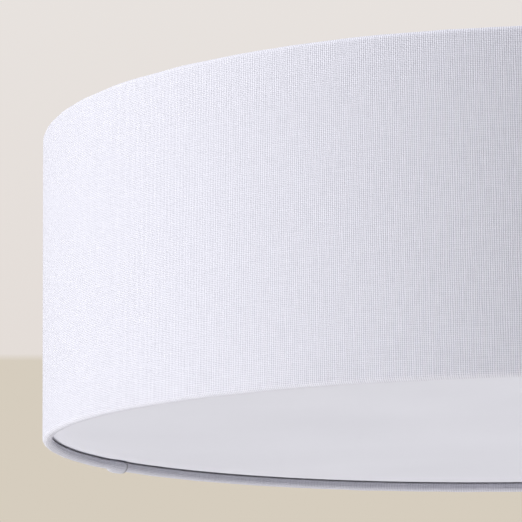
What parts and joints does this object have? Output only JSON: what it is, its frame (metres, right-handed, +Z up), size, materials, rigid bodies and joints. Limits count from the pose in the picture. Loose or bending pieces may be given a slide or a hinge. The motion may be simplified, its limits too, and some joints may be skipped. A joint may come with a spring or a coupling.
{
  "type": "flush mount ceiling light",
  "caption": "Flush ceiling light with a round fabric drum shade, opal diffuser on its bottom hem, and lamp holders under a central pan.",
  "frame": {"origin": "centre of the mounting strap on the ceiling plane", "axes": "+Z up into the ceiling, X along the mounting strap; the shade's lap seam lies at 155.6 degrees from +X towards +Y"},
  "size_m": [0.4, 0.4, 0.1234],
  "materials": {
    "white_linen": "plain linen weave, matt",
    "liner_film": "smooth translucent sheet",
    "white_wire": "white powder coat",
    "opal_sheet": "opal, satin",
    "zinc_steel": "bright zinc plate",
    "white_enamel": "white powder coat",
    "aluminium": "bright",
    "black_rubber": "matt",
    "block_plastic": "satin",
    "brass": "bright",
    "nickel": "nickel plate",
    "socket_plastic": "moulded, glossy",
    "line_insulation": "smooth",
    "neutral_insulation": "smooth",
    "earth_insulation": "smooth, striped",
    "white_nut": "white lacquer over a knurl",
    "opal_globe": "opal, satin",
    "bulb_plastic": "moulded, satin",
    "black_glass": "glossy"
  },
  "bodies": {
    "mount": {"mounting_strap": "zinc_steel", "ceiling_pan": "white_enamel", "stem": "zinc_steel", "strap_nut": "zinc_steel", "pan_lock_washer": "zinc_steel", "pan_nut": "zinc_steel", "bracket_rivets": "aluminium", "lead_grommets": "black_rubber", "socket_screws": "zinc_steel", "terminal_block": "block_plastic", "terminal_clamps": "brass", "terminal_screws": "zinc_steel", "block_screws": "zinc_steel", "earth_screw": "brass", "earth_lead": "earth_insulation", "lamp_bracket_1": "zinc_steel", "socket_body_1": "socket_plastic", "socket_shell_1": "nickel", "socket_contact_1": "brass", "lead_line_1": "line_insulation", "lead_neutral_1": "neutral_insulation", "lamp_bracket_2": "zinc_steel", "socket_body_2": "socket_plastic", "socket_shell_2": "nickel", "socket_contact_2": "brass", "lead_line_2": "line_insulation", "lead_neutral_2": "neutral_insulation", "lamp_bracket_3": "zinc_steel", "socket_body_3": "socket_plastic", "socket_shell_3": "nickel", "socket_contact_3": "brass", "lead_line_3": "line_insulation", "lead_neutral_3": "neutral_insulation"},
    "shade": {"shade_fabric": "white_linen", "shade_liner": "liner_film", "top_ring": "white_wire", "bottom_ring": "white_wire", "spider_arms": "white_wire", "spider_hub": "white_wire"},
    "clamp_washer": {"shade_washer": "zinc_steel"},
    "clamp_nut": {"shade_nut": "white_nut"},
    "diffuser": {"diffuser": "opal_sheet"},
    "bulb_1": {"bulb_globe_1": "opal_globe", "bulb_housing_1": "bulb_plastic", "bulb_cap_1": "nickel", "bulb_insulator_1": "black_glass", "bulb_contact_1": "brass"},
    "bulb_2": {"bulb_globe_2": "opal_globe", "bulb_housing_2": "bulb_plastic", "bulb_cap_2": "nickel", "bulb_insulator_2": "black_glass", "bulb_contact_2": "brass"},
    "bulb_3": {"bulb_globe_3": "opal_globe", "bulb_housing_3": "bulb_plastic", "bulb_cap_3": "nickel", "bulb_insulator_3": "black_glass", "bulb_contact_3": "brass"}
  },
  "joints": [
    {"name": "shade_drop", "type": "slide", "parent": "mount", "child": "shade", "axis": [0, 0, -1], "range_m": [0, 0.14]},
    {"name": "washer_travel", "type": "slide", "parent": "shade", "child": "clamp_washer", "axis": [0, 0, -1], "range_m": [0, 0.012]},
    {"name": "nut_turn", "type": "hinge", "parent": "clamp_washer", "child": "clamp_nut", "pos_m": [0, 0, -0.0307], "axis": [0, 0, -1], "range_deg": [0, 4320]},
    {"name": "diffuser_lift", "type": "slide", "parent": "shade", "child": "diffuser", "axis": [0, 0, 1], "range_m": [0, 0.025]},
    {"name": "bulb_1_out", "type": "slide", "parent": "mount", "child": "bulb_1", "axis": [0.866, 0.5, 0], "range_m": [0, 0.036]},
    {"name": "bulb_2_out", "type": "slide", "parent": "mount", "child": "bulb_2", "axis": [-0.866, 0.5, 0], "range_m": [0, 0.036]},
    {"name": "bulb_3_out", "type": "slide", "parent": "mount", "child": "bulb_3", "axis": [0, -1, 0], "range_m": [0, 0.036]}
  ],
  "couplings": [
    {"joint": "washer_travel", "follows": "nut_turn", "m_per_rad": 0.00015915}
  ]
}
